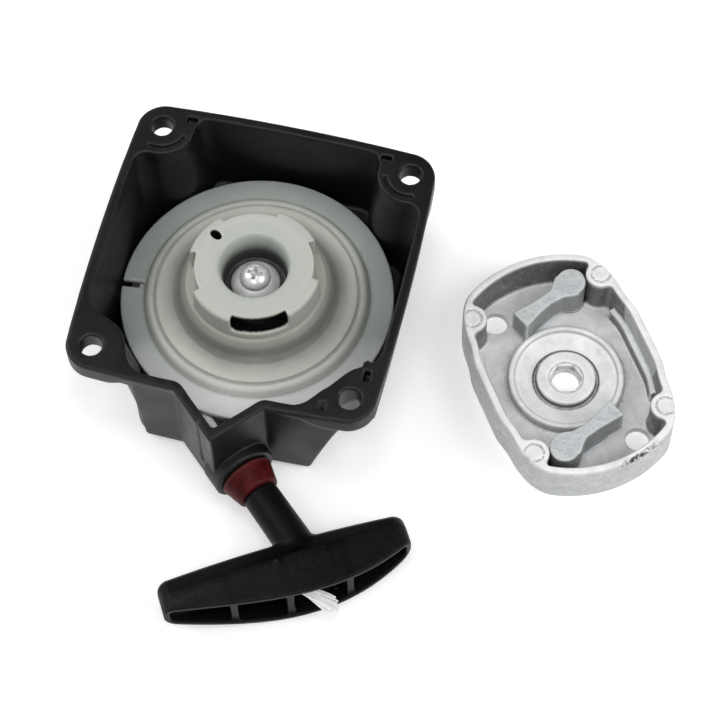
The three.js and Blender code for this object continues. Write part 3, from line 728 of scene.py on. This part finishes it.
def braid_paths(line, rope_r, strand_r, strands, pitch):
    """Centre lines of a round braid along a line of points: half the strands wind each way,
    and each passes over and under the ones it crosses."""
    line = np.array(line, float)
    steps = np.linalg.norm(np.diff(line, axis=0), axis=1)
    reach = np.concatenate([[0], np.cumsum(steps)])
    length = reach[-1]
    count = max(int(length / (pitch / 14)), 8)
    at = np.linspace(0, length, count)
    centre = np.stack([np.interp(at, reach, line[:, i]) for i in range(3)], axis=1)
    tangent = np.gradient(centre, axis=0)
    tangent /= np.linalg.norm(tangent, axis=1)[:, None]
    side = np.cross(tangent, (0.12, 0.05, 1.0))
    side /= np.linalg.norm(side, axis=1)[:, None]
    other = np.cross(tangent, side)
    paths = []
    for way in (1, -1):
        for k in range(strands):
            phase = 2 * math.pi * k / strands
            turn = way * 2 * math.pi * at / pitch + phase
            weave = np.cos(strands * (turn * way - phase) + (0 if way > 0 else math.pi))
            radius = rope_r - strand_r - 0.22 * strand_r * (1 - weave)
            spoke = np.cos(turn)[:, None] * side + np.sin(turn)[:, None] * other
            paths.append(centre + radius[:, None] * spoke)
    return paths


def ribbon_paths(line, half_start, half_end, strands):
    """Strands side by side, fanning out towards the end of a line and ending unevenly."""
    line = np.array(line, float)
    along = line[-1] - line[0]
    wide = np.cross(along, (0.0, 0.0, 1.0))
    wide /= np.linalg.norm(wide)
    thick = np.cross(wide, along)
    thick /= np.linalg.norm(thick)
    paths = []
    for k in range(strands):
        place = 2 * k / (strands - 1) - 1
        share = np.linspace(0, 1, len(line))
        half = half_start + (half_end - half_start) * share ** 1.6
        wander = 0.22 * np.sin(share * 7 + k * 2.4)
        lift = 0.45 * math.cos(k * 2.9) + 0.25 * np.sin(share * 9 + k * 1.3)
        path = line + (half * place + wander)[:, None] * wide + lift[:, None] * thick
        keep = len(line) - int(round(1.6 * abs(place) ** 1.5 + (k * 5 % 3) * 0.5))
        paths.append(path[:keep])
    return paths


def make_ropes():
    white = rope_white()
    tree = strand_tree(white)

    # straight run from the pulley through the ferrule to the grip
    run = [(*from_pull(s, PULL_OFFSET), ROPE_Z) for s in np.linspace(20.5, FERRULE_END, 24)]
    strands = braid_paths(run, ROPE_R, 0.42, 6, 9.0)
    core = swept("rope_core_run", [run], ROPE_R - 0.55, 10, tree, white)
    piece = swept("braided_rope_run", strands, 0.42, 7, tree, white)
    piece = joined(piece, core)
    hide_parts("rope_run")
    start = (*from_pull(21, PULL_OFFSET), ROPE_Z)
    end = (*from_pull(FERRULE_END, PULL_OFFSET), ROPE_Z)
    tuple(v * MM for v in start)
    tuple(v * MM for v in end)
    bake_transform(piece)

    # loose end that hangs out of the grip, flattened and frayed open towards its tip
    first = np.array([*from_bar(1.2, 1.5), ROPE_Z + 3.0])
    last = np.array([*from_bar(12.2, 10.6), ROPE_Z - 3.7])
    bend = np.array([0.0, 0.0, 0.7])
    tail = [first + (last - first) * t + bend * 4 * t * (1 - t) for t in np.linspace(0, 1, 14)]
    piece = swept("braided_rope_tail", ribbon_paths(tail, 1.35, 2.6, 15), 0.33, 7, tree, white)
    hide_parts("rope_tail")
    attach(piece, "grip")

    # turns on the pulley: two columns, two layers deep
    turns = []
    per_turn = 72
    for radius, z in ((33.1, 6.6), (33.1, 9.9), (36.5, 9.9), (36.5, 6.6)):
        turns.append([(radius * math.cos(a), radius * math.sin(a), z)
                      for a in np.linspace(0, 2 * math.pi * 0.997, per_turn)])
    piece = swept("wound_rope", turns, ROPE_R - 0.05, 12, tree, white)
    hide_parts("rope_coil")
    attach(piece, "rope_pulley")
    return white


def joined(piece, extra):
    """Adds the mesh of extra to piece."""
    work = bmesh.new()
    work.from_mesh(piece.data)
    work.from_mesh(extra.data)
    work.to_mesh(piece.data)
    work.free()
    bpy.data.objects.remove(extra)
    return piece


# ---- shader maths ----
class Value:
    """A shader socket that can be written in Python expressions."""

    def __init__(self, finish, socket):
        self.finish = finish
        self.socket = socket

    def maths(self, operation, first, second):
        return self.finish.node("ShaderNodeMath", {"operation": operation}, {0: first, 1: second})

    def __add__(self, other):
        return self.maths("ADD", self, other)

    __radd__ = __add__

    def __mul__(self, other):
        return self.maths("MULTIPLY", self, other)

    __rmul__ = __mul__

    def __sub__(self, other):
        return self.maths("SUBTRACT", self, other)

    def __rsub__(self, other):
        return self.maths("SUBTRACT", other, self)

    def __pow__(self, other):
        return self.maths("POWER", self, other)


class Finish:
    """A material being built: one Principled shader and the nodes that feed it."""

    def __init__(self, name, **constants):
        self.material = bpy.data.materials.new(name)
        self.material.use_nodes = True
        self.tree = self.material.node_tree
        self.shader = self.tree.nodes["Principled BSDF"]
        for socket, value in constants.items():
            self.shader.inputs[socket.replace("_", " ")].default_value = value

    def node(self, kind, settings=None, inputs=None, output=0):
        made = self.tree.nodes.new(kind)
        for key, value in (settings or {}).items():
            if key == "stops":
                ramp = made.color_ramp.elements
                for place, colour in value[2:]:
                    ramp.new(place)
                for element, (place, colour) in zip(ramp, sorted(value)):
                    element.position = place
                    element.color = (*colour, 1)
            else:
                setattr(made, key, value)
        for key, value in (inputs or {}).items():
            if isinstance(value, Value):
                self.tree.links.new(value.socket, made.inputs[key])
            else:
                made.inputs[key].default_value = value
        return Value(self, made.outputs[output])

    def place(self, shift=(0, 0, 0)):
        here = self.node("ShaderNodeTexCoord", output="Object")
        if any(shift):
            here = self.node("ShaderNodeMapping", inputs={"Vector": here, "Location": shift})
        return here

    def noise(self, scale, detail=3.0, rough=0.5, twist=0.0, where=None):
        inputs = {"Vector": where or self.place(), "Scale": scale, "Detail": detail,
                  "Roughness": rough, "Distortion": twist}
        return self.node("ShaderNodeTexNoise", {}, inputs)

    def attribute(self, name):
        return self.node("ShaderNodeAttribute", {"attribute_name": name}, output="Fac")

    def fit(self, value, low, high, to_low=0.0, to_high=1.0):
        inputs = {"Value": value, "From Min": low, "From Max": high, "To Min": to_low, "To Max": to_high}
        return self.node("ShaderNodeMapRange", {"clamp": True}, inputs)

    def ramp(self, value, *stops):
        return self.node("ShaderNodeValToRGB", {"stops": list(stops)}, {"Fac": value})

    def mix(self, share, first, second):
        def filled(colour):
            return colour if isinstance(colour, Value) else (*colour, 1)

        settings = {"data_type": "RGBA", "clamp_factor": True}
        return self.node("ShaderNodeMix", settings, {0: share, 6: filled(first), 7: filled(second)}, 2)

    def bump(self, height, strength, distance, under=None):
        inputs = {"Height": height, "Strength": strength, "Distance": distance}
        if under:
            inputs["Normal"] = under
        return self.node("ShaderNodeBump", {}, inputs)

    def feed(self, **sockets):
        for name, value in sockets.items():
            self.tree.links.new(value.socket, self.shader.inputs[name.replace("_", " ")])
        return self.material


def moulded(name, dark, pale, gloss, level=0.34):
    """Moulded black plastic: fine grain, rubbed pale edges, painted shade in the corners and deep in the
    grip's well, smears of gloss.
    """
    finish = Finish(name, Specular_IOR_Level=level)
    cloud = finish.noise(38, 4, 0.6)
    speck = finish.noise(900, 2, 0.6)
    grain = finish.noise(2600, 2, 0.6)
    worn = finish.attribute("worn")
    sunk = finish.attribute("sunk")
    rub = finish.fit(worn * finish.fit(speck, 0.3, 0.7, 0.4, 1.2), 0.25, 0.8)
    colour = finish.mix(finish.fit(cloud, 0.35, 0.7), dark, pale)
    colour = finish.mix(rub * 0.35, colour, (0.03, 0.031, 0.034))
    # painted shade: darker in inner corners and down in the grip's open well
    shade = sunk * 0.5 + finish.attribute("deep") * 0.9
    colour = finish.mix(shade, colour, tuple(channel * 0.2 for channel in dark))
    rough = finish.fit(finish.noise(60, 3, 0.55, 0.4), 0.3, 0.7, gloss - 0.08, gloss + 0.1)
    relief = finish.bump(grain, 0.25, 0.00006)
    relief = finish.bump(cloud, 0.12, 0.0006, relief)
    return finish.feed(Base_Color=colour, Roughness=rough, Normal=relief)


def black_plastic():
    return moulded("moulded_black_plastic", (0.0035, 0.0038, 0.0045), (0.0065, 0.007, 0.0082), 0.42)


def grip_plastic():
    return moulded("grip_black_plastic", (0.0020, 0.0022, 0.0026), (0.0040, 0.0043, 0.005), 0.42, 0.12)


def nylon():
    finish = Finish("milky_nylon", Subsurface_Weight=0.35, Subsurface_Scale=0.004, Specular_IOR_Level=0.5)
    finish.shader.inputs["Subsurface Radius"].default_value = (1.0, 0.95, 0.8)
    where = finish.place()
    flat = finish.node("ShaderNodeVectorMath", {"operation": "MULTIPLY"}, {0: where, 1: (1, 1, 0)})
    radius = finish.node("ShaderNodeVectorMath", {"operation": "LENGTH"}, {0: flat}, "Value")
    smoky = finish.noise(55, 4, 0.6, 0.5)
    reach = radius + (smoky - 0.5) * 0.003
    share = finish.fit(reach, 0.008, 0.044)
    colour = finish.ramp(
        share, (0.0, (0.42, 0.45, 0.42)), (0.24, (0.47, 0.49, 0.44)), (0.36, (0.40, 0.41, 0.36)),
        (0.45, (0.20, 0.21, 0.185)), (0.53, (0.36, 0.37, 0.33)), (0.62, (0.58, 0.60, 0.54)),
        (0.72, (0.53, 0.55, 0.50)), (0.80, (0.33, 0.37, 0.35)), (1.0, (0.19, 0.225, 0.215)))
    # painted light: pale towards the front of the rim, where light shines through the thin nylon with no
    # rope under it
    forward = {0: where, 1: (0.25, -0.97, 0)}
    to_front = finish.node("ShaderNodeVectorMath", {"operation": "DOT_PRODUCT"}, forward, "Value")
    clear = finish.fit(to_front + (smoky - 0.5) * 0.012, 0.014, 0.036) * finish.fit(radius, 0.031, 0.036)
    colour = finish.mix(clear * 0.95, colour, (0.90, 0.91, 0.89))
    colour = finish.mix(finish.fit(smoky, 0.4, 0.75) * 0.3, colour, (0.50, 0.50, 0.45))
    colour = finish.mix(finish.attribute("worn") * 0.35, colour, (0.66, 0.68, 0.65))
    # painted shade in the inner corners
    colour = finish.mix(finish.attribute("sunk") * 0.5, colour, (0.17, 0.17, 0.15))
    colour = finish.mix(finish.attribute("unlit") * 0.97, colour, (0.006, 0.006, 0.006))
    rough = finish.fit(finish.noise(120, 3), 0.3, 0.7, 0.36, 0.5)
    relief = finish.bump(finish.noise(700, 3), 0.12, 0.00012)
    return finish.feed(Base_Color=colour, Roughness=rough, Normal=relief)


def bright_zinc(name, pale, gloss, metal):
    finish = Finish(name, Metallic=metal)
    smear = finish.noise(420, 3, 0.6)
    colour = finish.mix(finish.fit(smear, 0.35, 0.7), pale, tuple(channel * 0.75 for channel in pale))
    # painted shade in the inner corners
    colour = finish.mix(finish.attribute("sunk") * 0.6, colour, (0.06, 0.06, 0.06))
    rough = finish.fit(smear, 0.3, 0.7, gloss - 0.04, gloss + 0.1)
    relief = finish.bump(finish.noise(1500, 2), 0.15, 0.00008)
    return finish.feed(Base_Color=colour, Roughness=rough, Normal=relief)


def plain_steel(name, pale, dark, gloss):
    """Rolled steel for pins, springs and the cover plate of the spring."""
    finish = Finish(name, Metallic=1.0)
    stretched = finish.node("ShaderNodeMapping", inputs={"Vector": finish.place(), "Scale": (1, 6, 1)})
    streak = finish.noise(300, 4, 0.6, where=stretched)
    colour = finish.mix(finish.fit(streak, 0.35, 0.7), pale, dark)
    rough = finish.fit(streak, 0.3, 0.7, gloss - 0.06, gloss + 0.1)
    relief = finish.bump(streak, 0.1, 0.0001)
    return finish.feed(Base_Color=colour, Roughness=rough, Normal=relief)


def red_plastic():
    finish = Finish("dark_red_plastic", Specular_IOR_Level=0.08)
    cloud = finish.noise(170, 4, 0.6, 0.6)
    colour = finish.mix(finish.fit(cloud, 0.35, 0.7), (0.042, 0.004, 0.005), (0.085, 0.008, 0.009))
    colour = finish.mix(finish.attribute("worn") * 0.5, colour, (0.16, 0.05, 0.045))
    # painted shade in the inner corners
    colour = finish.mix(finish.attribute("sunk") * 0.6, colour, (0.03, 0.003, 0.004))
    rough = finish.fit(cloud, 0.3, 0.7, 0.3, 0.45)
    relief = finish.bump(finish.noise(900, 2), 0.2, 0.0001)
    return finish.feed(Base_Color=colour, Roughness=rough, Normal=relief)


def cast_aluminium():
    """Tumbled die casting: bright matt faces, with painted shade on the sides, darker on the walls in the
    recess and black in its corners.
    """
    finish = Finish("die_cast_aluminium")
    mottle = finish.noise(150, 5, 0.62, 0.7)
    flow = finish.noise(45, 3, 0.6, 1.2)
    fine = finish.noise(900, 3, 0.6)
    streak = finish.noise(420, 4, 0.7, 1.5)
    flank = finish.attribute("flank")
    recess = finish.attribute("recess")
    colour = finish.mix(finish.fit(mottle, 0.35, 0.68), (0.95, 0.96, 0.97), (0.72, 0.73, 0.74))
    colour = finish.mix(finish.fit(flow, 0.5, 0.78) * 0.25, colour, (0.55, 0.56, 0.57))
    # painted shade on the steep sides, streaky
    colour = finish.mix(flank * finish.fit(streak, 0.35, 0.65, 0.7, 1.0), colour, (0.36, 0.37, 0.37))
    # painted shade on the inner walls of the tray, streaky
    recess_wall_shade = flank * recess * finish.fit(streak, 0.3, 0.65, 0.65, 1.0)
    colour = finish.mix(recess_wall_shade * 0.93, colour, (0.06, 0.062, 0.063))
    # painted shade in the inner corners
    sunk = finish.fit(finish.attribute("sunk") + (fine - 0.5) * 0.5, 0.2, 0.65)
    colour = finish.mix(sunk * 0.9, colour, (0.03, 0.032, 0.034))
    colour = finish.mix(finish.attribute("worn") * 0.7, colour, (0.96, 0.96, 0.96))
    scar = finish.attribute("scar") * finish.fit(streak, 0.42, 0.56)
    colour = finish.mix(scar, colour, (0.02, 0.02, 0.02))
    rough = finish.fit(mottle, 0.3, 0.7, 0.34, 0.52)
    metal = finish.fit(flow, 0.3, 0.7, 0.15, 0.05)
    relief = finish.bump(fine, 0.3, 0.00012)
    relief = finish.bump(mottle, 0.4, 0.0005, relief)
    return finish.feed(Base_Color=colour, Roughness=rough, Metallic=metal, Normal=relief)


def sintered_steel():
    """Grey plated sinter: brushed tops, porous flanks darkened with painted shade."""
    finish = Finish("sintered_grey_steel")
    pores = finish.noise(1300, 3, 0.65)
    mottle = finish.noise(260, 4, 0.6, 0.5)
    drawn = finish.node("ShaderNodeMapping", inputs={"Vector": finish.place(), "Rotation": (0, 0, -0.55),
                                                     "Scale": (1, 7, 1)})
    brushed = finish.noise(500, 4, 0.65, where=drawn)
    colour = finish.mix(finish.fit(mottle, 0.35, 0.7), (0.66, 0.68, 0.69), (0.52, 0.54, 0.55))
    colour = finish.mix(finish.fit(brushed, 0.45, 0.7) * 0.55, colour, (0.24, 0.25, 0.26))
    # painted shade on the steep sides
    colour = finish.mix(finish.attribute("flank") * 0.75, colour, (0.17, 0.175, 0.175))
    colour = finish.mix(finish.fit(pores, 0.55, 0.75) * 0.4, colour, (0.09, 0.092, 0.095))
    colour = finish.mix(finish.attribute("worn") * 0.6, colour, (0.66, 0.68, 0.69))
    # painted shade in the inner corners
    colour = finish.mix(finish.attribute("sunk") * 0.8, colour, (0.05, 0.05, 0.05))
    rough = finish.fit(mottle, 0.3, 0.7, 0.4, 0.58)
    relief = finish.bump(pores, 0.35, 0.00015)
    relief = finish.bump(brushed, 0.2, 0.0002, relief)
    metal = finish.fit(pores, 0.3, 0.7, 0.2, 0.1)
    return finish.feed(Base_Color=colour, Roughness=rough, Metallic=metal, Normal=relief)


def rope_white():
    finish = Finish("white_braid", Sheen_Weight=0.25)
    fibre = finish.noise(2500, 3, 0.7)
    soil = finish.noise(140, 3, 0.6)
    colour = finish.mix(finish.fit(fibre, 0.3, 0.7), (0.93, 0.93, 0.92), (0.80, 0.80, 0.79))
    colour = finish.mix(finish.fit(soil, 0.5, 0.8) * 0.2, colour, (0.55, 0.54, 0.52))
    rough = finish.fit(fibre, 0.3, 0.7, 0.75, 0.9)
    relief = finish.bump(fibre, 0.5, 0.00015)
    return finish.feed(Base_Color=colour, Roughness=rough, Normal=relief)


def dressed(piece, body, material):
    piece.data.materials.clear()
    piece.data.materials.append(material)
    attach(piece, body)
    return piece


def dress_cad_nodes(rope):
    """Gives the CAD nodes that stay their own finishes."""
    cover = plain_steel("cover_plate_zinc", (0.66, 0.67, 0.68), (0.45, 0.47, 0.48), 0.3)
    leaf = plain_steel("spring_strip_steel", (0.40, 0.42, 0.44), (0.22, 0.24, 0.26), 0.36)
    pin = plain_steel("ground_pin_steel", (0.62, 0.63, 0.64), (0.48, 0.5, 0.52), 0.24)
    finishes = {
        "spring_cover_plate": cover, "rewind_spring": leaf,
        "pawl_spring_a": leaf, "pawl_spring_b": leaf, "pawl_pin_a": pin, "pawl_pin_b": pin,
        "rope_pulley_knot": rope, "rope_handle_knot": rope,
    }
    for name, material in finishes.items():
        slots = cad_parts[name].material_slots
        for place in slots:
            place.material = material


# ---- bench, light and camera ----
def make_stage():
    mesh = bpy.data.meshes.new("bench")
    half, drop = 3.0, -0.0004
    corners = [(-half, -half, drop), (half, -half, drop), (half, half, drop), (-half, half, drop)]
    mesh.from_pydata(corners, [], [(0, 1, 2, 3)])
    bench = bpy.data.objects.new("bench", mesh)
    bpy.context.scene.collection.objects.link(bench)
    finish = Finish("bench_white", Roughness=0.65, Specular_IOR_Level=0.2, Emission_Strength=0.33)
    finish.shader.inputs["Emission Color"].default_value = (1, 1, 1, 1)
    colour = finish.mix(finish.noise(6, 2), (0.92, 0.92, 0.92), (0.9, 0.9, 0.9))
    mesh.materials.append(finish.feed(Base_Color=colour))


def make_light(name, place, aim, size, power, colour=(1, 1, 1)):
    data = bpy.data.lights.new(name, "AREA")
    data.shape = "RECTANGLE"
    data.size, data.size_y = size
    data.energy = power
    data.color = colour
    light = bpy.data.objects.new(name, data)
    bpy.context.scene.collection.objects.link(light)
    light.location = place
    light.rotation_euler = (Vector(aim) - Vector(place)).to_track_quat("-Z", "Y").to_euler()
    return light


def make_world(bright, dim):
    """A pale room with a dim patch behind and above, which level faces mirror to the front."""
    world = bpy.data.worlds.new("studio")
    bpy.context.scene.world = world
    world.use_nodes = True
    tree = world.node_tree
    back = tree.nodes["Background"]
    way = tree.nodes.new("ShaderNodeTexCoord")
    toward = tree.nodes.new("ShaderNodeVectorMath")
    toward.operation = "DOT_PRODUCT"
    toward.inputs[1].default_value = (-0.12, 0.45, 0.885)
    patch = tree.nodes.new("ShaderNodeMapRange")
    patch.interpolation_type = "SMOOTHSTEP"
    patch.inputs["From Min"].default_value = 0.72
    patch.inputs["From Max"].default_value = 0.93
    patch.inputs["To Min"].default_value = bright
    patch.inputs["To Max"].default_value = dim
    tree.links.new(way.outputs["Generated"], toward.inputs[0])
    tree.links.new(toward.outputs["Value"], patch.inputs["Value"])
    tree.links.new(patch.outputs[0], back.inputs["Strength"])
    back.inputs["Color"].default_value = (1, 1, 1, 1)


def make_camera():
    place = Vector((0.1293, -0.3610, 0.7002))
    aim = Vector((0.035392, -0.00805, 0))
    roll = -0.028
    back = (place - aim).normalized()
    right = Vector((0, 0, 1)).cross(back).normalized()
    up = back.cross(right)
    turned_right = right * math.cos(roll) + up * math.sin(roll)
    turned_up = -right * math.sin(roll) + up * math.cos(roll)
    data = bpy.data.cameras.new("camera")
    data.lens = 124.45
    data.sensor_width = 36
    data.clip_start = 0.01
    camera = bpy.data.objects.new("camera", data)
    bpy.context.scene.collection.objects.link(camera)
    axes = Matrix((turned_right, turned_up, back)).transposed()
    camera.matrix_world = Matrix.Translation(place) @ axes.to_4x4()
    bpy.context.scene.camera = camera


make_camera()
make_stage()
make_world(0.55, 0.08)
make_light("softbox_left", (-0.75, 0.15, 0.75), (0.03, -0.02, 0), (0.7, 0.7), 3.6)
make_light("softbox_right", (0.85, -0.1, 0.7), (0.03, -0.02, 0), (0.6, 0.7), 4.2)
make_light("softbox_front", (0.0, -0.75, 1.15), (0.03, -0.02, 0), (0.6, 0.4), 2.2)
make_light("softbox_top", (0.03, -0.05, 1.2), (0.03, -0.02, 0), (0.3, 0.3), 2.0)

make_housing()
make_pulley()
make_screw()
make_ferrule()
make_handle()
make_plate()
make_pawl("a", 1)
make_pawl("b", -1)
dress_cad_nodes(make_ropes())

bpy.context.scene.view_settings.view_transform = "Standard"
